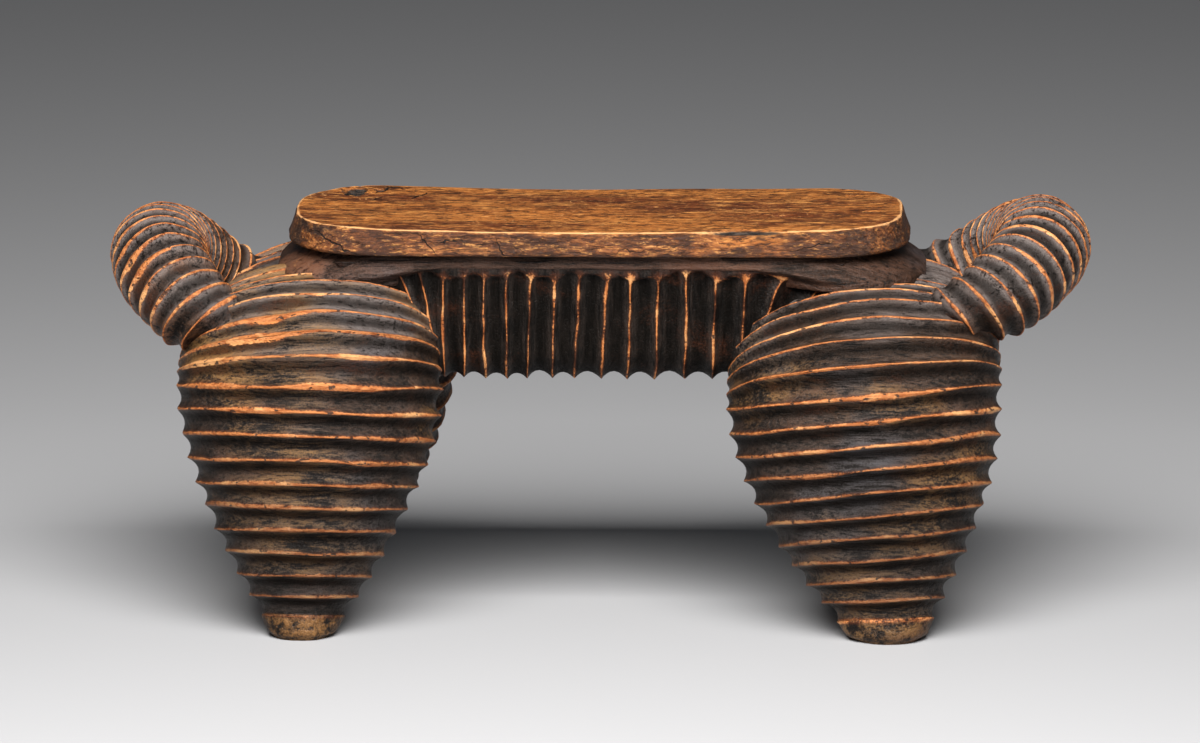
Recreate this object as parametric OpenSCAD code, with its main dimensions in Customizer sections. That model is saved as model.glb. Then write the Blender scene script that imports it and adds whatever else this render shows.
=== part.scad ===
// Carved wooden headrest: a sleeping slab on a ribbed body with four coil-ribbed
// legs and a ribbed loop handle at each end. One block of wood in life; every
// carved zone is a solid of its own here, and the zones meet face to face.
// +X runs along the slab, the front is at -Y, and the feet stand on z = 0.

/* [Slab] */
// Length of the slab at its lower edge
slab_length = 241; // [230:1:245]
// Depth of the slab at its lower edge, front to back
slab_depth = 92; // [88:1:96]
// Thickness of the slab at its rim
slab_thickness = 10; // [8:0.5:14]
// How far each side of the slab leans in from its lower to its upper edge
slab_lean = 3.5; // [1:0.5:5]
// Radius of the slab's corners
slab_corner = 37; // [30:1:42]
// How deep the top is worn hollow along its length
dish_depth = 1.6; // [0.5:0.1:3]

/* [Body] */
// Height of the slab's underside above the ground
slab_z = 146.4; // [144:0.2:150]
// Height of the smooth neck under the slab
neck_height = 7.9; // [6:0.1:9]
// How far the neck stands back from the slab's lower edge
neck_inset = 8; // [8:0.5:12]
// Depth of the crossbeam, front to back
beam_depth = 76; // [76:1:80]
// Height of the crossbeam
beam_height = 43.5; // [38:0.5:44]
// Distance between the ribs of the crossbeam
beam_pitch = 9.5; // [9:0.1:10]
// Depth of the flutes between the crossbeam's ribs
beam_flute = 2.8; // [2:0.1:3.2]
// Half the length of the crossbeam, up to the shoulders
beam_half = 70; // [66:1:72]
// Height of the shoulders' underside above the ground
shoulder_z = 100; // [98:1:106]
// Half the distance between the shoulders' outer ends
shoulder_end = 117; // [114:1:118]

/* [Legs] */
// Widest radius of the left legs, seen from the front
left_bulb = 51; // [48:0.5:53]
// Widest radius of the right legs, seen from the front
right_bulb = 53.5; // [50:0.5:54]
// Widest radius of every leg, seen from the end
leg_depth_radius = 40; // [36:0.5:40.5]
// Height of the legs' widest ring above the ground
bulb_z = 90; // [86:1:94]
// Height of the dome above the widest ring
dome_height = 51; // [49:1:53]
// Distance of the widest rings from the middle plane, front to back
bulb_y = 41.5; // [41.5:0.5:46]
// How far the legs splay to the front and back, in degrees
splay = 8.5; // [6:0.5:12]
// How far the left legs lean outwards, in degrees
left_lean = 1.4; // [0:0.2:4]
// How far the right legs lean outwards, in degrees
right_lean = 6; // [3:0.2:7]
// Height of the plain foot under the lowest ring
foot_height = 8.5; // [8:0.5:11]
// Radius of every foot's underside, as a share of the radius at its top
foot_share = 0.76; // [0.6:0.01:0.85]
// Rings from the foot to the widest ring
cone_rings = 9; // [7:1:11]
// Depth of the flutes between rings, as a share of their width
flute_share = 0.3; // [0.15:0.01:0.32]

/* [Handles] */
// Radius of the loop's centre line
loop_radius = 45.5; // [44:0.5:47]
// How far the left loop tips up at its outer end, in degrees
left_tilt = 41; // [38:1:44]
// How far the right loop tips up at its outer end, in degrees
right_tilt = 36; // [34:1:40]
// Radius of the left loop's tube at its bow
left_bow = 19; // [17:0.5:19.5]
// Radius of the right loop's tube at its bow
right_bow = 19.5; // [18:0.5:20]
// Radius of each loop's tube where it meets the legs
loop_root = 16; // [15:0.5:16.5]
// Half the angle that each loop runs through
loop_reach = 76; // [72:1:78]
// Ribs round each loop
loop_ribs = 21; // [17:2:25]

/* [Hidden] */

neck_z = slab_z - neck_height;
beam_z = neck_z - beam_height;
overall_half = 190;          // half the length over both loops
left_spread = 110.5;         // left legs' widest ring from the middle, along X
right_spread = 102;          // right legs' widest ring from the middle, along X
taper_length = 102;          // where a cone's curve comes to a point, below the widest ring
left_taper = 1.57;           // power of the left cones' curve
right_taper = 1.75;          // power of the right cones' curve
dome_step = 10.5;            // degrees between rings on the dome
dome_rings = 7;
shoulder_corner = 22;
foot_sides = 32;
skin = 0.01;                 // thickness of the plates that a foot is hulled from
dish_steps = 24;             // flats along the worn hollow
crest_land = 0.8;            // width left on each rib of the crossbeam
belly_share = 0.32;          // radius of the crossbeam's lower edges, as a share of its height
right_bow_x = overall_half - right_bow;
left_bow_x = overall_half - left_bow;
right_bow_z = 142;           // height of the right loop's centre line at its bow
left_bow_z = 139;            // height of the left loop's centre line at its bow
loop_flute = 1.9;            // depth of the flutes round a loop
loop_sides = 18;
rib_steps = 4;               // stations from one rib of a loop to the next
seat_clearance = 0.9;        // room round a loop's root in the seat cut for it
seat_length = 30;            // how far along a loop its seat clears the leg
cut = 400;                   // larger than anything that is cut away

dark_wood = [0.17, 0.13, 0.11];
brown_wood = [0.36, 0.22, 0.13];
golden_wood = [0.62, 0.40, 0.18];
pale_wood = [0.50, 0.36, 0.19];

// ---- shared shapes ----

// A rectangle with round corners, made of true arcs.
module round_rectangle(length, width, radius) {
    square([length - 2 * radius, width], center = true);
    square([length, width - 2 * radius], center = true);
    for (x = [-1, 1], y = [-1, 1])
        translate([x * (length / 2 - radius), y * (width / 2 - radius)])
            circle(r = radius, $fn = 64);
}

// Points of one hollow flute from ring a to ring b of a profile, without b.
function flute(a, b, depth_share) =
    let (chord = norm(b - a), inward = [-(b[1] - a[1]), b[0] - a[0]] / chord)
    [for (f = [0, 0.18, 0.5, 0.82])
        a + (b - a) * f + inward * chord * depth_share * 4 * f * (1 - f)];

// Turns a profile in four quarters.
module turn() {
    for (quarter = [0 : 3])
        rotate([0, 0, 90 * quarter])
            rotate_extrude(angle = 90, $fn = 96)
                children();
}

// ---- legs and feet ----

function cone_radius(z, bulb, taper) = bulb * (1 - pow((bulb_z - z) / taper_length, taper));

// Crests of a leg's rings as [radius, height], from the foot to the top of the dome.
function ring_crests(bulb, taper) = concat(
    [for (i = [0 : cone_rings])
        let (z = foot_height + i * (bulb_z - foot_height) / cone_rings)
        [cone_radius(z, bulb, taper), z]],
    [for (i = [1 : dome_rings])
        [bulb * cos(i * dome_step), bulb_z + dome_height * sin(i * dome_step)]]);

module leg_blank(bulb, taper) {
    crests = ring_crests(bulb, taper);
    last = len(crests) - 1;
    turn()
        polygon(concat(
            [[0, foot_height]],
            [for (i = [0 : last - 1], p = flute(crests[i], crests[i + 1], flute_share)) p],
            [crests[last], [0, bulb_z + dome_height]]));
}

// Stands a blank in the front right corner, splayed and leaning.
module stand(spread, bulb, lean) {
    translate([spread, -bulb_y, bulb_z])
        rotate([-splay, -lean, 0])
            scale([1, leg_depth_radius / bulb, 1])
                translate([0, 0, -bulb_z])
                    children();
}

// What the body and a loop take away from a front right leg.
module leg_cutters(bow_x, bow_z, tilt) {
    beam_blank();
    shoulder_blank();
    translate([-cut / 2, -cut / 2, neck_z]) cube(cut);
    loop_frame(bow_x, bow_z, tilt)
        rotate([0, 0, -loop_reach])
            translate([loop_radius, 0, 0])
                rotate([-90, 0, 0])
                    cylinder(r = loop_root + seat_clearance, h = seat_length, $fn = 48);
}

module right_leg() {
    color(dark_wood)
        difference() {
            stand(right_spread, right_bulb, right_lean) leg_blank(right_bulb, right_taper);
            leg_cutters(right_bow_x, right_bow_z, right_tilt);
        }
}

module left_leg() {
    color(dark_wood)
        mirror([1, 0, 0])
            difference() {
                stand(left_spread, left_bulb, left_lean) leg_blank(left_bulb, left_taper);
                leg_cutters(left_bow_x, left_bow_z, left_tilt);
            }
}

// A plain foot, from the flat end of a leg down to a smaller flat sole on the ground.
module standing_foot(spread, bulb, taper, lean) {
    top = cone_radius(foot_height, bulb, taper);
    depth_share = leg_depth_radius / bulb;
    color(pale_wood)
        hull() {
            stand(spread, bulb, lean)
                translate([0, 0, foot_height - skin])
                    cylinder(r = top, h = skin, $fn = foot_sides);
            translate([spread + bulb_z * tan(lean), -bulb_y - bulb_z * tan(splay), 0])
                scale([1, depth_share, 1])
                    cylinder(r = top * foot_share, h = skin, $fn = foot_sides);
        }
}

module right_foot() {
    standing_foot(right_spread, right_bulb, right_taper, right_lean);
}

module left_foot() {
    mirror([1, 0, 0])
        standing_foot(left_spread, left_bulb, left_taper, left_lean);
}

module rear() {
    mirror([0, 1, 0]) children();
}

// ---- slab, neck, crossbeam and shoulders ----

// A bar whose sides lean in, running along X.
module leaning_bar(length, width) {
    rotate([90, 0, 90])
        translate([0, 0, -length / 2])
            linear_extrude(length)
                polygon([[-width / 2, 0],
                         [width / 2, 0],
                         [width / 2 - slab_lean, slab_thickness],
                         [slab_lean - width / 2, slab_thickness]]);
}

// Height of the worn top at x, above the slab's underside.
function top_height(x) = slab_thickness - dish_depth * (1 - pow(2 * x / slab_length, 2));

module headrest_slab() {
    inner_length = slab_length - 2 * slab_corner;
    inner_depth = slab_depth - 2 * slab_corner;
    color(golden_wood)
        translate([0, 0, slab_z])
            difference() {
                union() {
                    leaning_bar(inner_length, slab_depth);
                    rotate([0, 0, 90]) leaning_bar(inner_depth, slab_length);
                    for (x = [-1, 1], y = [-1, 1])
                        translate([x * inner_length / 2, y * inner_depth / 2, 0])
                            cylinder(r1 = slab_corner, r2 = slab_corner - slab_lean,
                                     h = slab_thickness, $fn = 96);
                }
                rotate([90, 0, 0])
                    linear_extrude(cut, center = true)
                        polygon(concat(
                            [for (i = [0 : dish_steps])
                                let (x = slab_length * (i / dish_steps - 0.5))
                                [x, top_height(x)]],
                            [[slab_length / 2, cut], [-slab_length / 2, cut]]));
            }
}

module neck_band() {
    color(dark_wood)
        translate([0, 0, neck_z])
            linear_extrude(neck_height)
                round_rectangle(slab_length - 2 * neck_inset, slab_depth - 2 * neck_inset,
                                slab_corner - neck_inset);
}

// Cross-section of the crossbeam: flat sides and a round belly.
module beam_section() {
    belly = beam_height * belly_share;
    translate([-beam_depth / 2, beam_z + belly]) square([beam_depth, beam_height - belly]);
    translate([-beam_depth / 2 + belly, beam_z]) square([beam_depth - 2 * belly, beam_height]);
    for (side = [-1, 1])
        translate([side * (beam_depth / 2 - belly), beam_z + belly])
            circle(r = belly, $fn = 64);
}

module beam_blank() {
    translate([-beam_half, 0, 0])
        rotate([90, 0, 90])
            linear_extrude(2 * beam_half) beam_section();
}

module crossbeam() {
    flutes = floor(beam_half / beam_pitch);
    chord = beam_pitch - crest_land;
    flute_radius = (chord * chord / 4 + beam_flute * beam_flute) / (2 * beam_flute);
    offset_out = flute_radius - beam_flute;
    below = 5;
    color(brown_wood)
        difference() {
            beam_blank();
            for (i = [-flutes + 0.5 : 1 : flutes - 0.5]) {
                for (side = [-1, 1])
                    translate([i * beam_pitch, side * (beam_depth / 2 + offset_out), beam_z - below])
                        cylinder(r = flute_radius, h = beam_height + below / 2, $fn = 48);
                translate([i * beam_pitch, 0, beam_z - offset_out])
                    rotate([90, 0, 0])
                        cylinder(r = flute_radius, h = cut, center = true, $fn = 48);
            }
        }
}

module shoulder_blank() {
    length = shoulder_end - beam_half;
    translate([beam_half, 0, shoulder_z])
        linear_extrude(neck_z - shoulder_z) {
            translate([0, -beam_depth / 2]) square([length - shoulder_corner, beam_depth]);
            translate([0, shoulder_corner - beam_depth / 2])
                square([length, beam_depth - 2 * shoulder_corner]);
            for (side = [-1, 1])
                translate([length - shoulder_corner, side * (beam_depth / 2 - shoulder_corner)])
                    circle(r = shoulder_corner, $fn = 64);
        }
}

module shoulder_right() {
    color(dark_wood) shoulder_blank();
}

// ---- loop handles ----

// Puts the plane of a right-hand loop in place: its centre is the origin, and +X runs to its bow.
module loop_frame(bow_x, bow_z, tilt) {
    translate([bow_x - loop_radius * cos(tilt), 0, bow_z - loop_radius * sin(tilt)])
        rotate([0, -tilt, 0])
            children();
}

// Radius of a loop's tube at angle a: thick at the bow, thin at the roots, hollow between its ribs.
function loop_tube(a, bow) =
    let (u = (a + loop_reach) / (2 * loop_reach) * (loop_ribs - 1), f = u - floor(u))
    loop_root + (bow - loop_root) * pow(cos(90 * a / loop_reach), 2) - loop_flute * 4 * f * (1 - f);

module loop(bow) {
    stations = (loop_ribs - 1) * rib_steps;
    points = [for (i = [0 : stations])
        let (a = -loop_reach + 2 * loop_reach * i / stations, r = loop_tube(a, bow))
        for (k = [0 : loop_sides - 1])
            let (b = 360 * k / loop_sides, d = loop_radius + r * cos(b))
            [d * cos(a), d * sin(a), r * sin(b)]];
    faces = concat(
        [[for (k = [0 : loop_sides - 1]) k]],
        [for (i = [0 : stations - 1], k = [0 : loop_sides - 1])
            let (n = (k + 1) % loop_sides, p = i * loop_sides, q = p + loop_sides)
            [p + k, q + k, q + n, p + n]],
        [[for (k = [loop_sides - 1 : -1 : 0]) stations * loop_sides + k]]);
    polyhedron(points = points, faces = faces, convexity = 6);
}

module handle_right() {
    color(dark_wood) loop_frame(right_bow_x, right_bow_z, right_tilt) loop(right_bow);
}

module handle_left() {
    color(dark_wood)
        mirror([1, 0, 0])
            loop_frame(left_bow_x, left_bow_z, left_tilt) loop(left_bow);
}

headrest_slab();
neck_band();
crossbeam();
mirror([1, 0, 0]) shoulder_right();  // shoulder_left
shoulder_right();
left_leg();  // leg_front_left
right_leg();  // leg_front_right
rear() left_leg();  // leg_rear_left
rear() right_leg();  // leg_rear_right
left_foot();  // foot_front_left
right_foot();  // foot_front_right
rear() left_foot();  // foot_rear_left
rear() right_foot();  // foot_rear_right
handle_left();
handle_right();
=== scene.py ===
"""Carved wooden headrest: slab, ribbed crossbeam, four ring-carved legs and two loop handles."""
import math

import bpy
import numpy as np
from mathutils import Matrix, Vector


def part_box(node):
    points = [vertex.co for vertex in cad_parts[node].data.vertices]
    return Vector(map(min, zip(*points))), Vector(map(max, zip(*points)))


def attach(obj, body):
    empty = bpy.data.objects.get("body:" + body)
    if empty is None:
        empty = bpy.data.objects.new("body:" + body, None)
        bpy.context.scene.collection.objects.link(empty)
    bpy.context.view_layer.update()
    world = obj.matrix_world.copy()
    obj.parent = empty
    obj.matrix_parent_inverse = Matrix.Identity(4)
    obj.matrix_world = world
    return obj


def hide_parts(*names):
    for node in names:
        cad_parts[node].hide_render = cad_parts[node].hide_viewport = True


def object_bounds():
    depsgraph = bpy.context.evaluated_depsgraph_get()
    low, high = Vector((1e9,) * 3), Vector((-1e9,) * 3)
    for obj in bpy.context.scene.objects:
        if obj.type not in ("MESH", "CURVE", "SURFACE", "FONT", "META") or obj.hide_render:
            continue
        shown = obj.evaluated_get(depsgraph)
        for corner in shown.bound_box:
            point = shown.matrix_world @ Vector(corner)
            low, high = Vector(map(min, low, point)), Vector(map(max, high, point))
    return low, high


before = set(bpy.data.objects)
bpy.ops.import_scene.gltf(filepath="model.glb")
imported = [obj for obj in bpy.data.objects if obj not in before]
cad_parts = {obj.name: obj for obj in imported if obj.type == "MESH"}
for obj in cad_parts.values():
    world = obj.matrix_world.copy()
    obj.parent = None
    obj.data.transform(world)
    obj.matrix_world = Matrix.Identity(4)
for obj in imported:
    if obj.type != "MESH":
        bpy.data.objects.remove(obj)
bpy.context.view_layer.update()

MM = 0.001

# How many points run round each kind of piece
AROUND_LEG = 330
AROUND_LOOP = 150
AROUND_BEAM = 400
AROUND_SLAB = 760

# Where the rows of points lie across each flute, from one crest to the next
FRACTIONS = np.array([0, 0.02, 0.05, 0.10, 0.19, 0.33, 0.5, 0.67, 0.81, 0.90, 0.95, 0.98])
CREST_FADE = 0.8            # mm of depth over which a worn crest fades into its flutes
THIN_FADE = 0.28            # and at most this share of a narrow flute's depth

SLAB_LOW, SLAB_HIGH = [np.array(corner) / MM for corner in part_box("headrest_slab")]
BEAM_LOW = np.array(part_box("crossbeam")[0]) / MM
NECK_LOW = np.array(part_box("neck_band")[0]) / MM
LOOP_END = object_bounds()[1][0] / MM


# ---- small helpers (all lengths in millimetres until a mesh is made) ----

def unit(v):
    return v / np.maximum(np.linalg.norm(v, axis=-1, keepdims=True), 1e-9)


def smoothstep(low, high, value):
    t = np.clip((value - low) / (high - low), 0, 1)
    return t * t * (3 - 2 * t)


def bump(value, half_width):
    """A smooth hump of height 1 that ends half_width away from zero."""
    return np.clip(1 - (value / half_width) ** 2, 0, 1) ** 2


def noise(points, cell, seed):
    """Smooth value noise from -1 to 1, with features about one cell across."""
    size = 32
    table = np.random.default_rng(seed).uniform(-1, 1, (size, size, size))
    place = np.asarray(points, float) / cell
    base = np.floor(place).astype(int)
    part = place - base
    part = part * part * (3 - 2 * part)
    total = 0.0
    for corner in np.ndindex(2, 2, 2):
        weight = np.prod(np.where(corner, part, 1 - part), axis=-1)
        i, j, k = np.moveaxis((base + corner) % size, -1, 0)
        total = total + weight * table[i, j, k]
    return total


def roughen(points, seed):
    """Hand-carved unevenness: broad facets and small tool marks."""
    return (0.22 * noise(points, 11, seed) + 0.12 * noise(points * [0.5, 1, 1], 3.2, seed + 1)
            + 0.045 * noise(points, 1.1, seed + 2))


def make_piece(name, rows, crest, hollow, node, material):
    """A closed piece from rows of points (millimetres) that each run once round it."""
    count, around = rows.shape[:2]
    ends = [rows[0].mean(axis=0), rows[-1].mean(axis=0)]
    points = np.concatenate([rows.reshape(-1, 3), ends]) * MM
    ring = np.arange(around)
    after = (ring + 1) % around
    start = np.arange(count - 1)[:, None] * around
    quads = np.stack([start + ring, start + after, start + around + after,
                      start + around + ring], axis=-1).reshape(-1, 4)
    last = (count - 1) * around
    low = np.stack([after, ring, np.full(around, count * around)], axis=-1)
    high = np.stack([last + ring, last + after, np.full(around, count * around + 1)], axis=-1)
    corners = np.concatenate([quads.ravel(), low.ravel(), high.ravel()])
    sizes = np.concatenate([np.full(len(quads), 4), np.full(2 * around, 3)])
    mesh = bpy.data.meshes.new(name)
    mesh.vertices.add(len(points))
    mesh.vertices.foreach_set("co", points.ravel())
    mesh.loops.add(len(corners))
    mesh.loops.foreach_set("vertex_index", corners.astype(np.int32))
    mesh.polygons.add(len(sizes))
    mesh.polygons.foreach_set("loop_start", (np.cumsum(sizes) - sizes).astype(np.int32))
    mesh.polygons.foreach_set("use_smooth", np.ones(len(sizes), bool))
    mesh.update(calc_edges=True)
    mesh.validate()
    for key, values in (("crest", crest), ("hollow", hollow)):
        layer = mesh.attributes.new(key, "FLOAT", "POINT")
        data = np.concatenate([values.ravel(), [0, 0]]).astype(np.float32)
        layer.data.foreach_set("value", data)
    piece = bpy.data.objects.new(name, mesh)
    bpy.context.collection.objects.link(piece)
    mesh.materials.append(material)
    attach(piece, "root")
    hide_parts(node)
    return piece


def ribbed(crests, share, land, seed, fade=None, painted_ledge=1.0):
    """Hollow flutes between crest curves: rows of points, how near each is to a worn crest, and how
    deep it lies in its flute.

    crests is (rings, around, 3); share is a flute's depth over its width; land is how deep each crest
    is worn, (rings, around); fade(points, fraction) scales the flutes' depth, and where it ends a flute
    the edge counts as worn; above 1, painted_ledge makes the wear run further after each crest than
    before the next one, and moves the darkest painted shade, given by the third result, nearer to the
    next crest, just under it, while the flute's own shape stays the same.
    """
    rows, near, deep = [], [], []
    for k in range(len(crests) - 1):
        a, b = crests[k], crests[k + 1]
        chord = b - a
        along = np.roll(a + b, -1, axis=0) - np.roll(a + b, 1, axis=0)
        outward = unit(np.cross(along, chord))
        width = np.linalg.norm(chord, axis=1)
        fractions = FRACTIONS if k < len(crests) - 2 else np.append(FRACTIONS, 1.0)
        for f in fractions:
            base = a + chord * f
            skew = 4 * f * (1 - f) * (1 + 0.25 * (0.5 - f))
            dip = share * width * skew * (1 + 0.14 * noise(base, 17, seed + k))
            worn = land[k] * (1 - f) + land[k + 1] * f
            deepest = np.minimum(CREST_FADE, THIN_FADE * share * width)
            deepest = deepest * (painted_ledge if f < 0.5 else 1 / painted_ledge)
            left = np.ones(len(base)) if fade is None else fade(base, f)
            dip = dip * left
            level = np.sqrt(dip ** 2 + worn ** 2)
            lift = roughen(base, seed + 50) * smoothstep(0, 1.2, dip)
            rows.append(base - outward * (level - lift)[:, None])
            edge = 1 - (1 - left) * bump(f - 0.5, 0.47)
            end_line = 1.15 * bump(left - 0.34, 0.34)
            near.append(np.maximum(np.clip(1 - (dip - worn) / deepest, 0, 1) * edge, end_line))
            # deep becomes the hollow attribute, which the wood materials turn into painted shade; with a
            # painted ledge it peaks just under the next crest.
            middle = 4 * f * (1 - f) if painted_ledge == 1.0 else 6.4 * f * f * (1 - f)
            deep.append(middle * np.clip(share * width / 2.2, 0, 1) * left)
    return np.array(rows), np.array(near), np.array(deep)


# ---- legs and feet ----

class Leg:
    """One front leg's proportions; the rear legs are their mirror images in plan."""

    def __init__(self, side, bulb, power, taper, spread, lean, slopes, tilt, step, growth, rear_in,
                 fan):
        self.side = side            # -1 left, 1 right
        self.bulb = bulb            # widest half width
        self.power = power          # power of the cone's curve
        self.taper = taper          # length over which the curve comes to a point
        self.spread = spread        # the widest ring's distance from the middle, along X
        self.lean = lean            # degrees that the leg leans outwards
        self.slopes = slopes        # degrees that its low and high rings rise towards +X
        self.tilt = tilt            # degrees that its low rings rise towards the front
        self.step = step            # distance of the lowest rings, and how it grows upwards
        self.growth = growth
        self.rear_in = rear_in      # how much nearer to the middle its rear leg stands
        self.fan = fan              # the rings that fan out over the top: see Fan


class Fan:
    """How a leg's upper rings fan out from a hinge line between the front and rear legs."""

    def __init__(self, hinge_z, last_tilt, ease, reach, shrink, dome):
        self.hinge_z = hinge_z      # height of the hinge line
        self.last_tilt = last_tilt  # degrees that the last ring is tilted
        self.ease = ease            # above 1, the rings crowd together towards the last one
        self.reach = reach          # distance from the hinge to a ring's far side, and how it shrinks
        self.shrink = shrink
        self.dome = dome            # height of the dome over the hinge line


LEFT = Leg(side=-1, bulb=51.6, power=1.57, taper=106.5, spread=110.6, lean=1.4, slopes=(-1.3, 3.0),
           tilt=12.3, step=7.86, growth=0.091, rear_in=4.0,
           fan=Fan(hinge_z=83.0, last_tilt=59.4, ease=1.28, reach=80.4, shrink=14.4, dome=55.4))
RIGHT = Leg(side=1, bulb=53.4, power=1.75, taper=107, spread=102.0, lean=6.2, slopes=(5.7, 5.4),
            tilt=12.2, step=7.52, growth=0.098, rear_in=0.0,
            fan=Fan(hinge_z=78.7, last_tilt=57.4, ease=1.50, reach=82.8, shrink=14.2, dome=57.0))

LOW_RING = 6.4              # height of the lowest ring
BULB_Z = 90                 # height of the widest ring
BULB_DEPTH = 40             # half depth of the widest ring
BULB_Y = 41.5               # its distance from the middle plane
SPLAY = math.tan(math.radians(8.5))
LAST_LEVEL = 10             # the rings above this one fan out from a hinge line
LAST_RING = 17
TOP_END = 20.5              # ring number, as it were, where the smooth top above the last ring closes
STEEP_FROM = 0.714          # how far up the fan its rings begin to tilt more
STEEPER = 9                 # degrees that this adds at the last ring
FIRST_LIFT = 3.0            # the fan's first ring stands this much higher than its hinge line gives
HINGE_Y = 1.5               # the hinge line's distance from the middle plane
REAR_DROP = 5.0             # the rear domes are lower than the front ones


def leg_ring(leg, k, rear):
    """Middle's z and y, half width, half depth and tilt in degrees of ring k, as on a front leg."""
    if k <= LAST_LEVEL:
        z = LOW_RING + leg.step * k + leg.growth * k * k
        shape = 1 - (max(BULB_Z - z, 0) / leg.taper) ** leg.power
        y = -(BULB_Y + (BULB_Z - z) * SPLAY)
        return z, y, leg.bulb * shape, BULB_DEPTH * shape, leg.tilt
    t = (k - LAST_LEVEL) / (LAST_RING - LAST_LEVEL)
    fan = leg.fan
    tilt = leg.tilt + (fan.last_tilt - leg.tilt) * (1 - abs(1 - t) ** fan.ease * np.sign(1 - t))
    tilt += STEEPER * min(max((t - STEEP_FROM) / (1 - STEEP_FROM), 0), 1) ** 2
    radians = math.radians(tilt)
    dome = fan.dome - (REAR_DROP if rear else 0)
    reach = min(fan.reach - fan.shrink * t ** 2, dome / math.sin(radians))
    middle = reach / 2 + 1
    y = -HINGE_Y - middle * math.cos(radians)
    z = fan.hinge_z + FIRST_LIFT * bump(k - LAST_LEVEL - 1.0, 1.9) + middle * math.sin(radians)
    return z, y, leg.bulb * (1 - 0.06 * t ** 1.5), reach / 2 - 1, tilt


def leg_curve(leg, k, angle, seed, rear=False):
    """The crest of ring k as points round the leg."""
    z, y, half_width, half_depth, tilt = leg_ring(leg, k, rear)
    x = leg.side * (leg.spread + (BULB_Z - min(z, BULB_Z)) * math.tan(math.radians(leg.lean))
                    - (leg.rear_in if rear else 0))
    slope = leg.slopes[0] * smoothstep(-3, 4, k)
    slope = math.radians(slope + (leg.slopes[1] - leg.slopes[0]) * smoothstep(9, 13, k))
    tilt = math.radians(tilt)
    across = np.array([math.cos(slope), 0, math.sin(slope)])
    inward = np.array([0, math.cos(tilt), -math.sin(tilt)])
    ring = (half_width * np.cos(angle)[:, None] * across
            + half_depth * np.sin(angle)[:, None] * inward)
    points = ring + [x, y, z]
    points[:, 2] += 0.75 * noise(points + [0, 0, 40 * k], 21, seed)
    points += unit(ring) * (0.5 * noise(points, 15, seed + 3))[:, None]
    return points


def crest_wear(curves, seed, patches=()):
    """How deep each crest is worn: thin lines nearly everywhere, flats where it was handled.

    A patch is (ring, x, half length, depth) in millimetres, on the front of the ring.
    """
    handled = smoothstep(-0.1, 0.9, noise(curves * [1, 1, 1.6], 21, seed))
    land = 0.24 + 0.70 * handled + 0.10 * noise(curves, 2.5, seed + 1)
    for ring, x, half_length, depth in patches:
        front = curves[ring, :, 1] < curves[ring, :, 1].mean()
        land[ring] += np.where(front, depth * bump(curves[ring, :, 0] - x, half_length), 0)
    return land


def add_leg(name, leg, rear, seed, material, patches=()):
    angle = np.linspace(0, 2 * np.pi, AROUND_LEG, endpoint=False)
    curves = np.array([leg_curve(leg, k, angle, seed, rear) for k in range(LAST_RING + 1)])
    # The painted ledge puts painted shade under each ring's crest and lets the crest wear run further up
    # from it.
    rows, near, deep = ribbed(curves, 0.28, crest_wear(curves, seed + 20, patches), seed, painted_ledge=1.7)
    above = np.linspace(LAST_RING, TOP_END, 16)[1:]
    top = np.array([leg_curve(leg, k, angle, seed, rear) for k in above])
    rows = np.concatenate([rows, top])
    near = np.concatenate([near, np.zeros(top.shape[:2])])
    deep = np.concatenate([deep, np.full(top.shape[:2], 0.5)])
    if rear:
        rows, near, deep = rows[:, ::-1] * [1, -1, 1], near[:, ::-1], deep[:, ::-1]
    make_piece(name, rows, near, deep, name, material)


SOLE_SCALE = [0.80, 0.92, 0]    # the sole against the foot's top
SOLE_OUT, SOLE_FORWARD = 0.6, 2.2


def add_foot(name, leg, rear, seed, material):
    """A plain foot, hewn with a few flat cuts, with a worn sole."""
    angle = np.linspace(0, 2 * np.pi, AROUND_LEG, endpoint=False)
    top = leg_curve(leg, 0, angle, seed, rear)
    top_middle = top.mean(axis=0)
    sole_middle = np.array([top_middle[0] + leg.side * SOLE_OUT, top_middle[1] - SOLE_FORWARD, 0])
    sole = (top - top_middle) * SOLE_SCALE + sole_middle
    rows = []
    for t in (-0.12, 0, 0.15, 0.3, 0.45, 0.6, 0.72, 0.82, 0.9, 0.96, 1.0):
        tuck = 1 - 0.16 * smoothstep(0.6, 1.0, t) ** 2
        row = top * (1 - t) + sole * t
        row[:, :2] = row[:, :2].mean(axis=0) + (row[:, :2] - row[:, :2].mean(axis=0)) * tuck
        hewn = 0.35 * noise(row, 6, seed) + 0.2 * noise(row, 1.6, seed + 1) - 0.3
        row += unit(row - row.mean(axis=0)) * hewn[:, None]
        row[:, 2] = np.maximum(row[:, 2], 0)
        rows.append(row)
    flat = rows[-1].copy()
    for t in (0.93, 0.6, 0.3):
        rows.append(flat.mean(axis=0) + (flat - flat.mean(axis=0)) * t)
    rows = np.array(rows)[::-1]
    rows[:4, :, 2] = 0
    crest = np.zeros(rows.shape[:2])
    crest[-2:] = 0.6
    if rear:
        rows = rows[:, ::-1] * [1, -1, 1]
    make_piece(name, rows, crest, np.full(crest.shape, 0.3), name, material)


# ---- loop handles ----

LOOP_RADIUS = 45.5
LOOP_REACH = 92             # degrees, well past where the loop enters the legs
LOOP_RIBS = 24
LOOP_SIDES = 15.5           # radius of a loop's section at its sides
ROOT_THINNER = 5.5          # how much thinner it is where it enters the legs,
ROOT_IN, ROOT_UP = 11.5, 5.0    # and how far the root is shifted inwards and upwards


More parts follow.
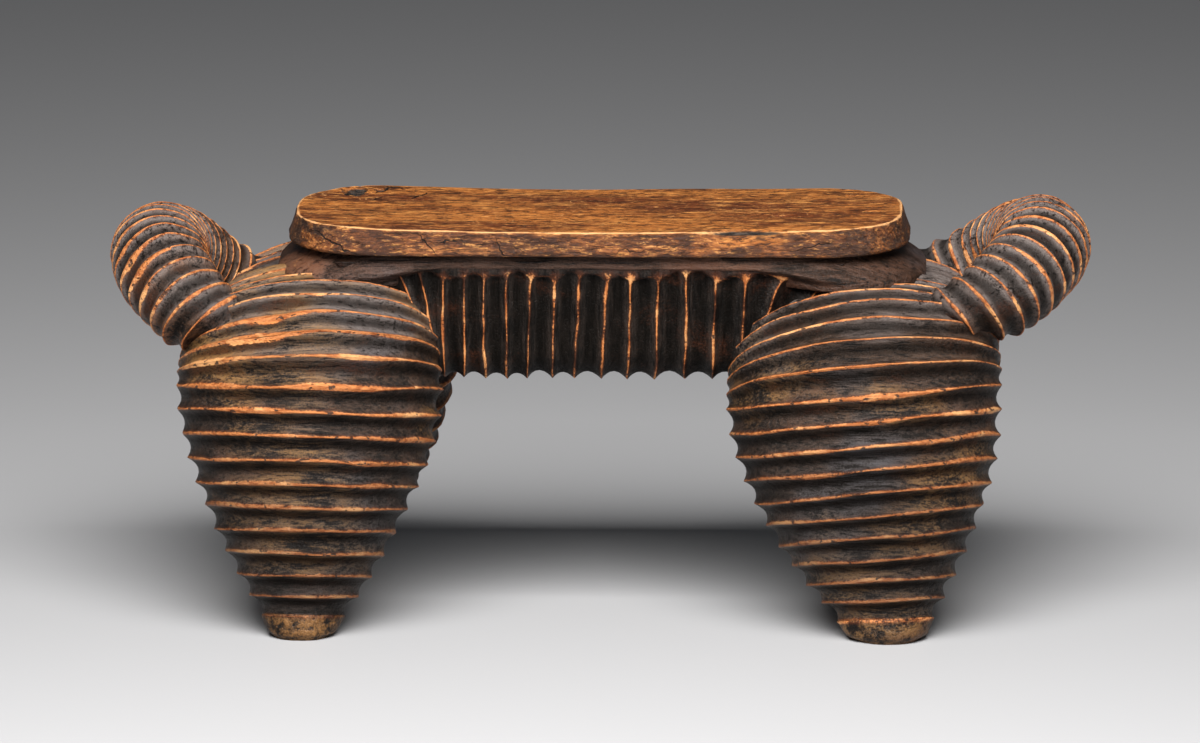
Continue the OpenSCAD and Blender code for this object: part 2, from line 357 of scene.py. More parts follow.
def loop_curve(side, bow_z, tilt, thick, t, angle, seed):
    """One rib round a loop; t runs from -1 at the front root to 1 at the rear root.

    bow_z is the height of the loop's far end, tilt how many degrees it rises outwards, and thick the
    radius of its section there.
    """
    a, tilt = math.radians(LOOP_REACH * t), math.radians(tilt)
    root = smoothstep(0.66, 1.0, abs(t))
    radius = LOOP_SIDES + (thick - LOOP_SIDES) * max(math.cos(a), 0) ** 1.2 - ROOT_THINNER * root
    out = np.array([side * math.cos(tilt), 0, math.sin(tilt)])
    centre = np.array([side * (LOOP_END - thick), 0, bow_z]) - out * LOOP_RADIUS
    radial = out * math.cos(a) + np.array([0, 1, 0]) * math.sin(a)
    normal = np.cross([0, 1, 0], out)
    ring = radius * (np.cos(angle)[:, None] * radial + side * np.sin(angle)[:, None] * normal)
    forward = unit(-out * math.sin(a) + np.array([0, 1, 0]) * math.cos(a))
    points = centre + radial * LOOP_RADIUS + ring + root * np.array([-ROOT_IN * side, 0, ROOT_UP])
    points = points + forward * (0.9 * noise(points + [0, 40 * t, 0], 16, seed))[:, None]
    return points + unit(ring) * (0.5 * noise(points, 12, seed + 1) - 0.45)[:, None]


def add_handle(name, side, bow_z, tilt, thick, seed, material, patches=()):
    """A ribbed loop; a patch is (rib, height, half length, depth) in millimetres, on its outer side."""
    angle = np.linspace(0, 2 * np.pi, AROUND_LOOP, endpoint=False)
    stations = np.linspace(-1, 1, LOOP_RIBS)
    curves = np.array([loop_curve(side, bow_z, tilt, thick, t, angle, seed) for t in stations])
    if side < 0:
        curves = curves[:, ::-1]
    land = crest_wear(curves, seed + 20)
    for rib, height, half_length, depth in patches:
        outer = np.abs(curves[rib, :, 0]) > np.abs(curves[rib, :, 0]).mean()
        land[rib] += np.where(outer, depth * bump(curves[rib, :, 2] - height, half_length), 0)
    rows, near, deep = ribbed(curves, 0.27, land, seed)
    along = np.linspace(0, 1, len(near))
    near = near * smoothstep(0.0, 0.12, np.minimum(along, 1 - along))[:, None]
    make_piece(name, rows, near, deep, name, material)


# ---- crossbeam, neck, shoulders and slab ----

BEAM_FRONT = 40.5           # half depth at the ribs' crests
BEAM_BELLY = 13             # radius of the round underside
BEAM_PITCH = 9.6
BEAM_MIDDLE = -2.5
FLUTE_TOP = 140.0           # height where the flutes end
FLUTE_ROUND = 3.4           # how much higher a flute's end is at its middle
LEG_X = 56                  # where the outer ribs begin to crowd together along the belly


def rib_place(rib):
    """Where rib number rib stands, in pitches from the middle; they are closer together on the left."""
    return (-66.2 + 7.1 * rib + 0.18 * rib * rib - BEAM_MIDDLE) / BEAM_PITCH


def beam_curve(rib, around, seed):
    """One rib of the crossbeam, as a loop round it: down the front, along the belly, up the back."""
    u = rib_place(rib)
    low, high = BEAM_LOW[2] + 0.3, NECK_LOW[2] + 5
    front = BEAM_FRONT - BEAM_BELLY
    drop = high - (low + BEAM_BELLY)
    arc = math.pi / 2 * BEAM_BELLY
    lengths = [drop, arc, 2 * front, arc, drop, 2 * BEAM_FRONT]
    s = np.linspace(0, sum(lengths), around, endpoint=False)
    edges = np.cumsum([0] + lengths)
    quarter = (s - edges[1]) / BEAM_BELLY
    other = (s - edges[3]) / BEAM_BELLY
    conditions = [s < edges[1], s < edges[2], s < edges[3], s < edges[4], s < edges[5], s <= edges[6]]
    y = np.select(conditions, [-BEAM_FRONT + 0 * s, -front - BEAM_BELLY * np.cos(quarter),
                               -front + s - edges[2], front + BEAM_BELLY * np.sin(other),
                               BEAM_FRONT + 0 * s, BEAM_FRONT - (s - edges[5])])
    z = np.select(conditions, [high - s, low + BEAM_BELLY * (1 - np.sin(quarter)), low + 0 * s,
                               low + BEAM_BELLY * (1 - np.cos(other)),
                               low + BEAM_BELLY + s - edges[4], high + 0 * s])
    height = np.clip((z - low) / (high - low), 0, 1)
    spread = BEAM_PITCH * abs(u)
    bottom = LEG_X + 0.35 * (spread - LEG_X) if spread > LEG_X else spread
    # Above, the outer ribs spread out to run into the legs, and those near the middle lean to the right
    top = spread + 1.15 * max(abs(u) - 5.2, 0) ** 2
    x = BEAM_MIDDLE + np.sign(u) * (bottom + (top - bottom) * height ** 1.5)
    x = x + 2.8 * (height - 0.45) * math.exp(-(u - 0.8) ** 2 / 16)
    points = np.stack([x, y, z], axis=-1)
    own = points + [0, 0, 57 * rib]
    points[:, 0] += (0.9 * noise(own, 24, seed) + 0.4 * noise(own, 8, seed + 1)
                     + 0.2 * noise(points, 3.5, seed + 3))
    points[:, 1:] *= 1 + 0.006 * noise(points, 18, seed + 2)[:, None]
    return points


def beam_fade(points, f):
    """Flutes end in round tops a little below the neck."""
    round_end = FLUTE_ROUND * (1 - math.sqrt(max(1 - (2 * f - 1) ** 2, 0)))
    ragged = 2.0 * noise(points * [1, 0, 0], 8, 91) + 0.7 * noise(points * [1, 0, 1], 2.0, 92)
    return smoothstep(0, 2.6, FLUTE_TOP - round_end + ragged - points[:, 2])


def add_beam(material):
    """The fluted beam; its crests are worn less brightly towards the neck."""
    curves = np.array([beam_curve(rib, AROUND_BEAM, 301) for rib in range(-3, 16)])
    land = 0.5 * crest_wear(curves, 320)
    rows, near, deep = ribbed(curves, 0.30, land, 300, beam_fade)
    height = rows[..., 2] - FLUTE_TOP
    near = near * (1 - 0.65 * smoothstep(-2.0, 0.8, height)) * (1 - 0.30 * smoothstep(-7.0, -3.0, height))
    near = near * (1 - 0.22 * smoothstep(-0.5, 0.5, noise(rows, 12, 330)))
    make_piece("crossbeam", rows, near, deep, "crossbeam", material)


SLAB_CORNER = 37            # radius of the slab's corners in plan
SKIRT_LEFT, SKIRT_RIGHT = 5.5, 7.5  # how far the neck runs out over the legs
SKIRT_DROP = 4.0            # and how far down


def outline(length, depth, corner, around):
    """A rounded rectangle, counter-clockwise, with its outward normals."""
    straight_x, straight_y = length / 2 - corner, depth / 2 - corner
    arc = math.pi / 2 * corner
    s = np.linspace(0, 4 * (straight_x + straight_y) + 4 * arc, around, endpoint=False)
    points, normals = np.zeros((around, 2)), np.zeros((around, 2))
    lengths = [2 * straight_y, arc, 2 * straight_x, arc] * 2
    edges = np.cumsum([0] + lengths)
    corner_at = [(1, 1), (-1, 1), (-1, -1), (1, -1)]
    for i in range(4):
        turn = i * math.pi / 2
        heading = np.array([math.cos(turn), math.sin(turn)])
        side = np.array([-heading[1], heading[0]])
        sx, sy = corner_at[i]
        middle = np.array([sx * straight_x, sy * straight_y])
        before = np.array([corner_at[i - 1][0] * straight_x, corner_at[i - 1][1] * straight_y])
        on_side = (s >= edges[2 * i]) & (s < edges[2 * i + 1])
        run = (s[on_side] - edges[2 * i])[:, None]
        points[on_side] = before + heading * corner + side * run
        normals[on_side] = heading
        on_arc = (s >= edges[2 * i + 1]) & (s < edges[2 * i + 2])
        bend = turn + (s[on_arc] - edges[2 * i + 1]) / corner
        normals[on_arc] = np.stack([np.cos(bend), np.sin(bend)], axis=-1)
        points[on_arc] = middle + corner * normals[on_arc]
    return points, normals


def add_neck(material):
    """The smooth band under the slab, hollow in section, with skirts that run out over the legs."""
    edge, normal = outline(SLAB_HIGH[0] - SLAB_LOW[0], SLAB_HIGH[1] - SLAB_LOW[1], SLAB_CORNER,
                           AROUND_SLAB // 2)
    top, low = SLAB_LOW[2] + 1.0, NECK_LOW[2] - 1.5
    rows = []
    for t in np.linspace(0, 1, 26):
        z = low + (top - low) * t
        hollow = 5.0 + 1.8 * (2 * t - 0.9) ** 2
        end = smoothstep(70, 118, np.abs(edge[:, 0]))
        hollow = hollow + 5.0 * (1 - smoothstep(0.14, 0.40, t)) * (1 - end)
        inset = hollow + 1.5 * end * smoothstep(0.2, 0.6, t) - 4.0 * end * (1 - smoothstep(0.2, 0.8, t))
        skirt = smoothstep(56, 90, np.abs(edge[:, 0])) * (1 - smoothstep(0.0, 0.85, t))
        inset = inset - np.where(edge[:, 0] < 0, SKIRT_LEFT, SKIRT_RIGHT) * skirt
        row = np.column_stack([edge - normal * inset[:, None], z - SKIRT_DROP * skirt])
        row[:, :2] += normal * (0.5 * noise(row, 13, 401) + 0.16 * noise(row, 3, 402))[:, None]
        rows.append(row)
    rows = np.array(rows)
    crest = np.zeros(rows.shape[:2])
    crest[:6] = 0.12
    make_piece("neck_band", rows, crest, np.full(crest.shape, 0.4), "neck_band", material)


def add_shoulder(name, side, seed, material):
    """The saddle between a front leg, a rear leg and a loop."""
    angle = np.linspace(0, 2 * np.pi, 160, endpoint=False)
    low, high = [np.array(corner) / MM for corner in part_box(name)]
    middle, half = (low + high) / 2, (high - low) / 2
    rows = []
    for lift in np.linspace(-88, 88, 50):
        ring = math.cos(math.radians(lift)) ** 0.45
        z = middle[2] + half[2] * np.sign(lift) * abs(math.sin(math.radians(lift))) ** 0.8
        wide = np.sign(np.cos(angle)) * np.abs(np.cos(angle)) ** 0.75
        deep = np.sign(np.sin(angle)) * np.abs(np.sin(angle)) ** 0.75
        row = np.column_stack([middle[0] + half[0] * 1.04 * ring * wide,
                               middle[1] + half[1] * ring * deep, np.full(len(angle), z)])
        row += unit(row - middle) * (0.9 * noise(row, 9, seed) + 0.3 * noise(row, 3, seed + 1))[:, None]
        rows.append(row)
    rows = np.array(rows)
    crest = 0.45 * smoothstep(0.2, 0.8, noise(rows, 9, seed))
    make_piece(name, rows, crest, np.full(crest.shape, 0.6), name, material)


# Splinters and dents in the slab: x, y, half length, half depth, how deep
SLAB_DENTS = [(-96, 30, 6.5, 9, 2.6), (-86, 33, 3.5, 4, 1.4), (-70, 18, 4, 2, 0.6),
              (97, 26, 4, 2.5, 0.9), (70, -12, 6, 1.6, 0.5), (20, 6, 8, 1.4, 0.45),
              (104, -6, 6, 2, 0.6), (-40, -20, 7, 1.6, 0.4)]
# The long chip on its front edge: where along X, and half its length
CHIP_X, CHIP_HALF = 58, 21
# The slab's worn rim: how far in, how far below the top, how brightly worn
SLAB_RIM = [(3.6, 0.55, 0.5), (3.9, 0.22, 1.0), (4.4, 0.06, 0.75), (5.0, 0.0, 0.35), (5.8, 0.0, 0.1)]
SLAB_CORE = 34.0            # how far in the rows stop following the slab's outline


def dent_depth(x, y):
    """How deep the dents are at x, y."""
    points = np.stack([x, y, 0 * x], axis=-1)
    ragged = 1 + 0.45 * noise(points, 2.2, 503)
    depth = 0 * x
    for cx, cy, half_x, half_y, deep in SLAB_DENTS:
        depth = depth + deep * bump(np.hypot((x - cx) / half_x, (y - cy) / half_y) * ragged, 1)
    return depth


def slab_top(x, y):
    """Height of the worn top over the slab's underside."""
    rise = SLAB_HIGH[2] - SLAB_LOW[2]
    points = np.stack([x, y, 0 * x], axis=-1)
    height = rise + 0.8 - 1.2 * (1 - (x / SLAB_HIGH[0]) ** 2) - 0.4 * np.exp(-((x + 20) / 70) ** 2)
    height = (height + 0.35 * noise(points * [0.4, 1, 1], 14, 501)
              + 0.09 * noise(points * [0.12, 1, 1], 1.8, 502))
    return height - dent_depth(x, y)


def add_slab(material):
    length, depth = SLAB_HIGH[0] - SLAB_LOW[0], SLAB_HIGH[1] - SLAB_LOW[1]
    edge, normal = outline(length, depth, SLAB_CORNER, AROUND_SLAB)
    flat = np.column_stack([edge, 0 * edge[:, 0]])
    wander = 0.55 * noise(flat, 34, 510) + 0.22 * noise(flat, 9, 511) - 0.5
    front = normal[:, 1] < -0.5
    chip = np.where(front, bump(edge[:, 0] - CHIP_X, CHIP_HALF) * (1 + 0.3 * noise(flat, 5, 512)), 0)
    nicks = np.where(front, smoothstep(0.35, 0.9, noise(flat, 6.5, 513)), 0)
    base = SLAB_LOW[2]
    sides = []
    for t in (0.0, 0.03, 0.07, 0.14, 0.25, 0.38, 0.5, 0.62, 0.74, 0.84, 0.92):
        tuck = 0.9 * (1 - smoothstep(0, 0.1, t)) + 3.4 * t + 0.35 * math.sin(math.pi * t)
        inset = tuck + 2.6 * chip * smoothstep(0.45, 0.9, t) + 0.5 * nicks * smoothstep(0.6, 0.95, t)
        plan = edge + normal * (wander - inset)[:, None]
        z = base + t * (slab_top(plan[:, 0], plan[:, 1]) - 0.9)
        row = np.column_stack([plan, z])
        row[:, :2] += normal * (0.14 * noise(row * [0.3, 1, 1], 2.4, 514)
                                + 0.25 * noise(row, 8, 515))[:, None]
        sides.append((row, 0.15 + 0 * chip, 0.0))
    rim = []
    for start, drop, crest in SLAB_RIM:
        inset = start + 3.0 * chip + 0.6 * nicks
        plan = edge + normal * (wander - inset)[:, None]
        z = base + slab_top(plan[:, 0], plan[:, 1]) - drop - 1.5 * chip * bump(start - 3.6, 2.4)
        rim.append((np.column_stack([plan, z]), crest + 0 * chip, 0.0))
    top = []
    for inset in np.linspace(6.8, SLAB_CORE, 48):
        left = 1 - inset / 40
        top.append(edge + normal * (wander * left - inset - 3.0 * chip * left)[:, None])
    core = top[-1]
    for t in np.linspace(0, 0.985, 42)[1:]:
        top.append(core * (1 - t))
    top = [(np.column_stack([plan, base + slab_top(*plan.T)]), 0 * chip, 0.6 * dent_depth(*plan.T))
           for plan in top]
    under = []
    for inset in (30, 20, 12, 6, 2.5):
        plan = edge - normal * inset
        under.append((np.column_stack([plan, np.full(len(plan), base)]), 0 * chip, 1.0))
    everything = under + sides + rim + top
    rows = np.array([item[0] for item in everything])
    crest = np.array([item[1] for item in everything])
    hollow = np.array([np.zeros(len(edge)) + item[2] for item in everything])
    # hollow here becomes painted shade in the slab material: in the dents, under the slab and in the chip
    # below the rim.
    from_rim = np.arange(len(rows)) - len(under) - len(sides) - 0.5
    hollow = np.maximum(hollow, chip[None, :] * bump(from_rim, 4.0)[:, None])
    make_piece("headrest_slab", rows, crest, hollow, "headrest_slab", material)


# ---- materials ----

class Nodes:
    """Short calls for building one material's nodes."""

    def __init__(self, name):
        self.material = bpy.data.materials.new(name)
        self.material.use_nodes = True
        self.tree = self.material.node_tree
        self.tree.nodes.clear()

    def node(self, kind, inputs=(), **settings):
        made = self.tree.nodes.new(kind)
        for key, value in settings.items():
            setattr(made, key, value)
        for key, value in dict(inputs).items():
            socket = made.inputs[key]
            if isinstance(value, bpy.types.NodeSocket):
                self.tree.links.new(value, socket)
            else:
                socket.default_value = value
        return made

    def math(self, operation, a, b=0.0, clamp=False):
        made = self.node("ShaderNodeMath", {0: a, 1: b}, operation=operation, use_clamp=clamp)
        return made.outputs[0]

    def add(self, a, b):
        return self.math("ADD", a, b)

    def minus(self, a, b, clamp=False):
        return self.math("SUBTRACT", a, b, clamp)

    def times(self, a, b):
        return self.math("MULTIPLY", a, b)

    def swing(self, value, amount):
        """How far a noise value is from its middle, times amount."""
        return self.times(self.minus(value, 0.5), amount)

    def place(self):
        """A node with the point on the object, in metres, split into X, Y and Z."""
        return self.node("ShaderNodeSeparateXYZ", {0: self.node("ShaderNodeTexCoord").outputs["Object"]})

    def grain(self, stretch, detail=4.0, roughness=0.6, distortion=0.0):
        """Noise in the object's own metres; stretch is how many features fit in a metre on each axis."""
        point = self.node("ShaderNodeTexCoord").outputs["Object"]
        scaled = self.node("ShaderNodeVectorMath", {0: point, 1: stretch}, operation="MULTIPLY")
        made = self.node("ShaderNodeTexNoise", {"Vector": scaled.outputs[0], "Scale": 1.0,
                                                "Detail": detail, "Roughness": roughness,
                                                "Distortion": distortion})
        return made.outputs["Fac"]

    def step(self, value, low, high):
        """0 below low, 1 above high, smooth in between."""
        made = self.node("ShaderNodeMapRange", {"Value": value, "From Min": low, "From Max": high},
                         interpolation_type="SMOOTHSTEP", clamp=True)
        return made.outputs["Result"]

    def mix(self, factor, a, b):
        made = self.node("ShaderNodeMix", {"Factor": factor, 6: a, 7: b}, data_type="RGBA")
        return made.outputs[2]

    def attribute(self, name):
        return self.node("ShaderNodeAttribute", attribute_name=name).outputs["Fac"]

    def finish(self, colour, roughness, height, bump_mm, specular):
        relief = self.node("ShaderNodeBump", {"Height": height, "Strength": 1.0,
                                              "Distance": bump_mm * MM})
        surface = self.node("ShaderNodeBsdfPrincipled", {
            "Base Color": colour, "Roughness": roughness, "Normal": relief.outputs[0],
            "Specular IOR Level": specular})
        self.node("ShaderNodeOutputMaterial", {"Surface": surface.outputs[0]})
        return self.material


def tint(red, green, blue):
    """A linear colour from its usual 0 to 255 screen values."""
    return tuple(((c / 255 + 0.055) / 1.055) ** 2.4 for c in (red, green, blue)) + (1,)


def carved_wood(name, dark, brown, gold, painted_sheen, gold_amount, painted_sheen_amount, streak, painted_low_shade=0.0, top_rub_and_light=0.0):
    """Blackened wood, rubbed to gold in places, with patches of painted grey sheen, and worn, bright
    crests.

    streak is how many streaks fit in a metre along each axis; painted_low_shade is how much painted shade
    darkens it towards the floor, top_rub_and_light how much more its high parts are rubbed to gold, while
    painted light makes them lighter in tone, with more and paler painted sheen.
    """
    n = Nodes(name)
    crest, hollow = n.attribute("crest"), n.attribute("hollow")
    broad = n.grain((13, 19, 23), 3.0, 0.5)
    other = n.grain((17, 17, 21), 3.0, 0.5, 0.3)
    cloud = n.grain((32, 60, 80), 5.0, 0.65, 0.6)
    fine = n.grain(streak, 5.0, 0.75)
    speckle = n.grain((1300, 1300, 1300), 2.0, 0.6)
    pits = n.grain((300, 520, 520), 2.0, 0.5)
    tone = n.add(n.times(cloud, 0.40), n.times(fine, 0.45))
    tone = n.add(tone, n.times(speckle, 0.15))
    height_up = n.place().outputs[2]
    # On the high parts: painted light, a lighter tone and more, paler painted sheen; the gold rub there
    # grows too, as real wear.
    upper_rub_and_light = n.times(n.step(height_up, 0.100, 0.135), top_rub_and_light)
    tone = n.add(tone, n.times(upper_rub_and_light, 0.35))
    broad = n.add(broad, n.times(upper_rub_and_light, 0.1))
    other = n.add(other, n.times(upper_rub_and_light, 1.3))
    base = n.mix(n.step(tone, 0.42, 0.60), dark, brown)
    # Painted sheen: random patches of a cool grey reflection painted into the colour, paler where painted
    # light falls on the high parts.
    painted_sheen_patches = n.times(n.step(other, 0.60 - painted_sheen_amount, 0.74 - painted_sheen_amount), n.step(tone, 0.42, 0.56))
    pale_painted_sheen = n.mix(n.times(upper_rub_and_light, 8.0), painted_sheen, tint(112, 102, 98))
    base = n.mix(n.times(painted_sheen_patches, 0.8), base, pale_painted_sheen)
    rub = n.times(n.step(broad, 0.62 - gold_amount, 0.78 - gold_amount), n.step(tone, 0.45, 0.58))
    base = n.mix(n.times(rub, 0.85), base, gold)
    base = n.mix(n.times(n.step(fine, 0.45, 0.38), 0.85), base, tint(12, 9, 7))
    # Painted shade in the hollows: near black where the hollow attribute is high, broken up by noise; it
    # also lowers the specular there.
    darkening = n.step(n.add(hollow, n.swing(cloud, 0.8)), 0.45, 1.0)
    base = n.mix(n.times(darkening, 0.85), base, tint(9, 7, 5))
    ragged = n.add(crest, n.swing(speckle, 0.7))
    ragged = n.add(ragged, n.swing(cloud, 1.6))
    ragged = n.add(ragged, n.swing(broad, 0.9))
    worn = n.step(ragged, 0.58, 0.84)
    glow = n.step(ragged, 0.02, 0.85)
    bright = n.mix(n.step(fine, 0.36, 0.62), tint(140, 74, 34), tint(198, 124, 68))
    bright = n.mix(n.times(n.step(cloud, 0.52, 0.66), 0.7), bright, tint(230, 172, 112))
    colour = n.mix(n.times(glow, 0.60), base, tint(92, 46, 22))
    colour = n.mix(worn, colour, bright)
    holes = n.times(n.times(worn, n.step(pits, 0.60, 0.66)), 0.9)
    colour = n.mix(holes, colour, tint(40, 26, 20))
    # Painted shade: darker towards the floor, where less light reaches.
    colour = n.mix(n.times(n.step(height_up, 0.110, 0.030), painted_low_shade), colour, tint(16, 11, 8))
    rough = n.add(0.24, n.times(tone, 0.34))
    height = n.add(n.times(fine, 1.3), n.times(speckle, 0.6))
    height = n.minus(height, n.times(holes, 0.5))
    shine = n.add(0.16, n.times(n.step(tone, 0.40, 0.62), 0.30))
    shine = n.times(shine, n.minus(1.0, n.times(darkening, 0.75)))
    return n.finish(colour, rough, height, 0.65, specular=shine)


# Fine cracks: on the top as (x, y, degrees, half length, half width), on the sides as (x, z, ...), in mm
TOP_CRACKS = [(-85, 33, 66, 9, 1.1), (-81, 37, -40, 6, 0.9), (-86, 18, 50, 5, 0.9), (-71, 24, 62, 9, 0.9),
              (-77, 6, 40, 4, 0.7), (-20, -14, 4, 12, 0.25), (38, 22, -3, 15, 0.25),
              (101, 22, 75, 5, 0.4), (88, 8, 8, 9, 0.3)]
SIDE_CRACKS = [(-65, 150.5, -48, 7, 0.4), (-37, 149.5, -62, 5, 0.45), (-57, 152, 2, 8, 0.3),
               (-30, 149, -30, 4, 0.3), (12, 148.5, 3, 14, 0.22), (84, 151, 12, 9, 0.3),
               (-100, 150, -22, 13, 0.5)]


def crack_mask(n, place, up_axis, cracks):
    """1 along each short crack, which wanders a little and thins towards its ends."""
    wander = n.swing(n.grain((160, 160, 160), 2.0), 0.006)
    total = 0.0
    for x, up, degrees, half_length, half_width in cracks:
        turn = math.radians(degrees)
        dx = n.minus(place.outputs[0], x * MM)
        du = n.minus(place.outputs[up_axis], up * MM)
        along = n.add(n.times(dx, math.cos(turn)), n.times(du, math.sin(turn)))
        across = n.minus(n.times(du, math.cos(turn)), n.times(dx, math.sin(turn)))
        across = n.math("ABSOLUTE", n.add(across, wander))
        taper = n.minus(1.0, n.math("DIVIDE", n.math("ABSOLUTE", along), half_length * MM), clamp=True)
        width = n.add(n.times(taper, half_width * MM), 1e-6)
        line = n.minus(1.0, n.math("DIVIDE", across, width), clamp=True)
        total = n.math("MAXIMUM", total, n.times(line, 2.2), clamp=True)
    return total


def slab_wood():
    """Golden brown wood with dark wavy grain, flecks and scratches, a pale worn edge and darker sides."""
    n = Nodes("slab_wood")
    crest, hollow = n.attribute("crest"), n.attribute("hollow")
    broad = n.grain((10, 38, 30), 4.0, 0.6, 0.6)
    bands = n.grain((32, 170, 150), 6.0, 0.72, 1.0)
    mottle = n.grain((60, 110, 150), 5.0, 0.7, 0.5)
    fine = n.grain((190, 700, 900), 5.0, 0.8, 0.3)
    flecks = n.grain((160, 520, 700), 3.0, 0.65, 0.6)
    scratch = n.grain((26, 34, 60), 2.0, 0.45, 2.2)
    place = n.place()
    normal = n.node("ShaderNodeSeparateXYZ", {0: n.node("ShaderNodeNewGeometry").outputs["Normal"]})
    side = n.step(normal.outputs[2], 0.75, 0.35)
    colour = n.mix(n.step(broad, 0.38, 0.62), tint(104, 52, 24), tint(170, 102, 46))
    colour = n.mix(n.times(n.step(bands, 0.50, 0.66), 0.8), colour, tint(202, 136, 70))
    colour = n.mix(n.times(n.step(bands, 0.48, 0.36), 0.85), colour, tint(66, 33, 16))
    red_side = n.mix(n.step(mottle, 0.38, 0.62), tint(50, 26, 15), tint(114, 66, 35))
    red_side = n.mix(n.times(n.step(bands, 0.54, 0.66), 0.6), red_side, tint(180, 112, 62))
    colour = n.mix(n.times(side, 0.92), colour, red_side)
    colour = n.mix(n.times(n.step(fine, 0.50, 0.42), 0.85), colour, tint(50, 25, 12))
    colour = n.mix(n.times(n.step(fine, 0.56, 0.62), 0.55), colour, tint(224, 158, 88))
    # Greyer, darker patches on the sides, more towards the ends.
    far = n.step(n.math("ABSOLUTE", place.outputs[0]), 0.080, 0.112)
    darkening = n.times(n.times(n.add(n.times(far, 0.60), 0.22), side),
                   n.step(mottle, 0.62, 0.40))
    colour = n.mix(n.times(darkening, 0.9), colour, tint(52, 43, 38))
    colour = n.mix(n.times(n.step(mottle, 0.46, 0.34), 0.45), colour, tint(58, 30, 15))
    marks = n.step(flecks, 0.595, 0.620)
    colour = n.mix(n.times(marks, 0.8), colour, tint(48, 28, 18))
    line = n.step(n.math("ABSOLUTE", n.minus(scratch, 0.5)), 0.0035, 0.0010)
    line = n.times(line, n.minus(n.step(mottle, 0.50, 0.58), side, clamp=True))
    colour = n.mix(n.times(line, 0.75), colour, tint(226, 164, 104))
    top_cracks = n.times(crack_mask(n, place, 1, TOP_CRACKS), n.minus(1.0, side))
    side_cracks = n.times(crack_mask(n, place, 2, SIDE_CRACKS), side)
    front = n.step(place.outputs[1], 0.0, -0.01)
    cracks = n.math("MAXIMUM", top_cracks, n.times(side_cracks, front))
    pale = n.step(n.add(crest, n.swing(mottle, 1.8)), 0.50, 0.95)
    colour = n.mix(n.times(pale, 0.9), colour, tint(226, 168, 112))
    # Painted shade: near black in the dents (darker the deeper), in the chip and all over the slab's
    # underside, broken up by the fine grain.
    painted_recess_shade = n.step(n.add(hollow, n.swing(fine, 0.9)), 0.30, 0.62)
    colour = n.mix(painted_recess_shade, colour, n.mix(n.step(fine, 0.42, 0.60), tint(14, 11, 10), tint(66, 54, 46)))
    colour = n.mix(cracks, colour, tint(18, 13, 11))
    rough = n.add(0.26, n.times(fine, 0.30))
    height = n.minus(n.times(fine, 1.3), n.times(marks, 0.6))
    height = n.minus(height, n.times(cracks, 1.6))
    height = n.add(height, n.times(bands, 0.9))
    return n.finish(colour, rough, height, 0.6, specular=0.25)


def floor_material():
    n = Nodes("studio_floor")
    surface = n.node("ShaderNodeBsdfPrincipled", {"Base Color": (0.40, 0.40, 0.41, 1), "Roughness": 0.55,
                                                  "Specular IOR Level": 0.25})
    n.node("ShaderNodeOutputMaterial", {"Surface": surface.outputs[0]})
    return n.material


# ---- the studio ----

def add_floor():
    """A wide, plain floor under the object."""
    bpy.ops.mesh.primitive_plane_add(size=14)
    floor = bpy.context.object
    floor.name = "floor"
    floor.data.materials.append(floor_material())


def add_light(name, place, target, size, power, spread, colour=(1, 1, 1)):
    """A soft rectangular lamp; lengths in metres, power in watts, spread in degrees."""
    data = bpy.data.lights.new(name, "AREA")
    data.shape = "RECTANGLE"
    data.size, data.size_y = size
    data.energy = power
    data.color = colour
    data.spread = math.radians(spread)
    lamp = bpy.data.objects.new(name, data)
    lamp.location = place
    lamp.rotation_euler = (Vector(target) - Vector(place)).to_track_quat("-Z", "Y").to_euler()
    bpy.context.collection.objects.link(lamp)


VIEW_HEIGHT = 0.0918        # metres; the point over the middle that the camera looks at


def add_camera(azimuth, elevation, distance, field):
    """A long lens; field is the width of the view, in metres, where the object stands."""
    a, e = math.radians(azimuth), math.radians(elevation)
    back = Vector((math.sin(a) * math.cos(e), -math.cos(a) * math.cos(e), math.sin(e)))
    target = Vector((0, 0, VIEW_HEIGHT))
    data = bpy.data.cameras.new("camera")
    data.lens = data.sensor_width * distance / field
    data.clip_end = 40
    camera = bpy.data.objects.new("camera", data)
    camera.location = target + back * distance
    camera.rotation_euler = (-back).to_track_quat("-Z", "Y").to_euler()
    bpy.context.collection.objects.link(camera)
    bpy.context.scene.camera = camera


def light_studio():
    """A faint sky, a large lamp above the front and a weak one low in front."""
    world = bpy.data.worlds.new("studio")
    world.use_nodes = True
    backdrop = world.node_tree.nodes["Background"]
    backdrop.inputs["Color"].default_value = (0.80, 0.84, 0.90, 1)
    backdrop.inputs["Strength"].default_value = 0.06
    bpy.context.scene.world = world
    add_light("key", place=(0, -1.00, 1.15), target=(0, -0.55, 0), size=(1.2, 0.95), power=34.5,
              spread=130, colour=(1.0, 0.99, 0.97))
    add_light("front", place=(0.1, -1.9, 1.1), target=(0, 0, 0.08), size=(1.2, 0.5), power=1.0, spread=90)
    bpy.context.scene.view_settings.view_transform = "Standard"
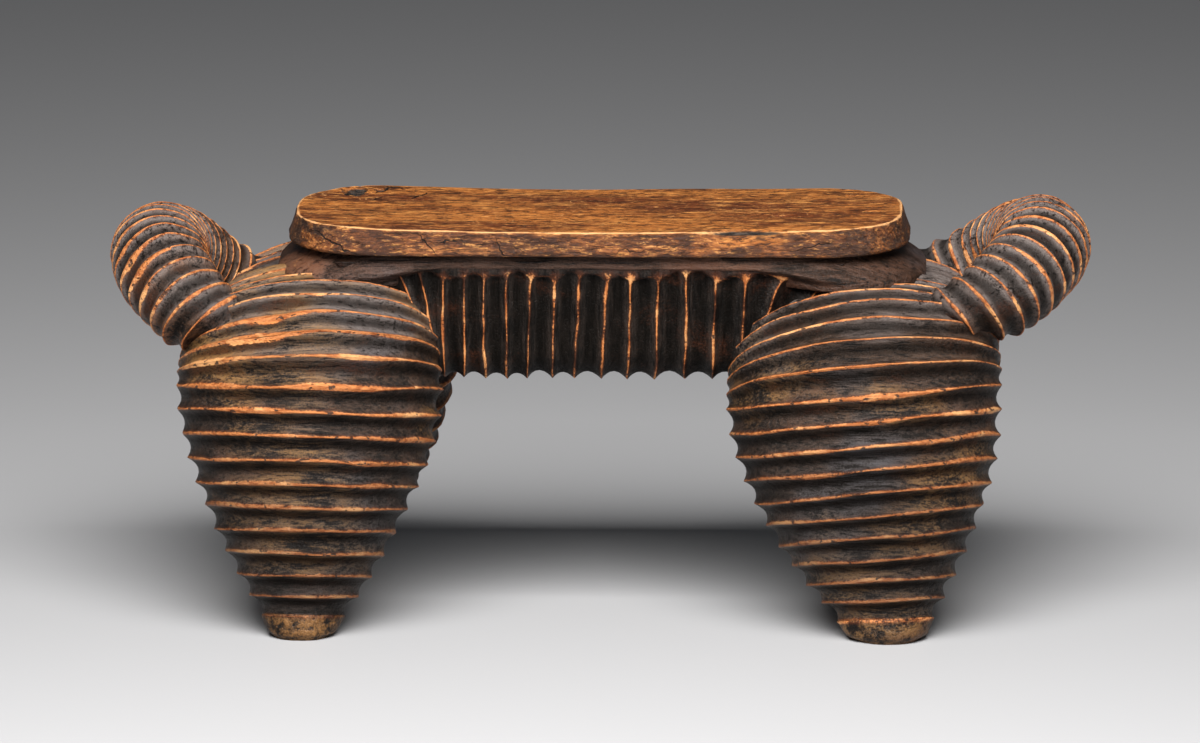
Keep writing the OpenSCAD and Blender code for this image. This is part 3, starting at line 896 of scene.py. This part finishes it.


# Grey of the painted sheen, a reflection painted into the wood's colour
PAINTED_SHEEN_GREY = tint(66, 66, 70)
leg_wood = carved_wood(
    "leg_wood", dark=tint(19, 14, 11), brown=tint(66, 46, 32), gold=tint(150, 110, 60), painted_sheen=PAINTED_SHEEN_GREY,
    gold_amount=0.115, painted_sheen_amount=0.10, streak=(75, 800, 900), painted_low_shade=0.6, top_rub_and_light=0.13)
beam_wood = carved_wood(
    "beam_wood", dark=tint(12, 9, 7), brown=tint(38, 27, 20), gold=tint(92, 60, 36), painted_sheen=PAINTED_SHEEN_GREY,
    gold_amount=0.0, painted_sheen_amount=-0.05, streak=(700, 600, 90))
handle_wood = carved_wood(
    "handle_wood", dark=tint(26, 20, 17), brown=tint(70, 50, 37), gold=tint(138, 88, 50), painted_sheen=PAINTED_SHEEN_GREY,
    gold_amount=0.08, painted_sheen_amount=0.12, streak=(420, 420, 420), top_rub_and_light=0.12)
dark_wood = carved_wood(
    "dark_wood", dark=tint(36, 24, 17), brown=tint(78, 51, 36), gold=tint(122, 84, 62), painted_sheen=PAINTED_SHEEN_GREY,
    gold_amount=0.05, painted_sheen_amount=0.03, streak=(60, 700, 700))
foot_wood = carved_wood(
    "foot_wood", dark=tint(30, 20, 12), brown=tint(126, 86, 42), gold=tint(200, 152, 86),
    painted_sheen=tint(66, 50, 34), gold_amount=0.16, painted_sheen_amount=0.02, streak=(240, 380, 300))
dark_foot = carved_wood(
    "foot_wood_dark", dark=tint(20, 13, 8), brown=tint(80, 52, 26), gold=tint(138, 102, 58),
    painted_sheen=tint(50, 38, 28), gold_amount=0.10, painted_sheen_amount=0.02, streak=(240, 380, 300))

add_leg("leg_front_left", LEFT, False, 10, leg_wood,
        [(12, -126, 22, 1.3), (13, -124, 17, 1.1), (10, -100, 30, 0.5)])
add_leg("leg_rear_left", LEFT, True, 110, leg_wood)
add_leg("leg_front_right", RIGHT, False, 160, leg_wood, [(10, 110, 30, 0.4), (11, 90, 40, 0.4)])
add_leg("leg_rear_right", RIGHT, True, 210, leg_wood)
add_foot("foot_front_left", LEFT, False, 10, foot_wood)
add_foot("foot_rear_left", LEFT, True, 110, foot_wood)
add_foot("foot_front_right", RIGHT, False, 160, dark_foot)
add_foot("foot_rear_right", RIGHT, True, 210, dark_foot)
add_handle("handle_left", side=-1, bow_z=137.6, tilt=42, thick=19.6, seed=601, material=handle_wood,
           patches=[(8, 142, 12, 1.2), (7, 140, 12, 1.2)])
add_handle("handle_right", side=1, bow_z=142, tilt=35, thick=19.7, seed=651, material=handle_wood)
add_beam(beam_wood)
add_neck(dark_wood)
add_shoulder("shoulder_left", -1, 701, dark_wood)
add_shoulder("shoulder_right", 1, 721, dark_wood)
add_slab(slab_wood())

add_floor()
light_studio()
add_camera(azimuth=1.4, elevation=12.5, distance=4.2, field=0.4644)
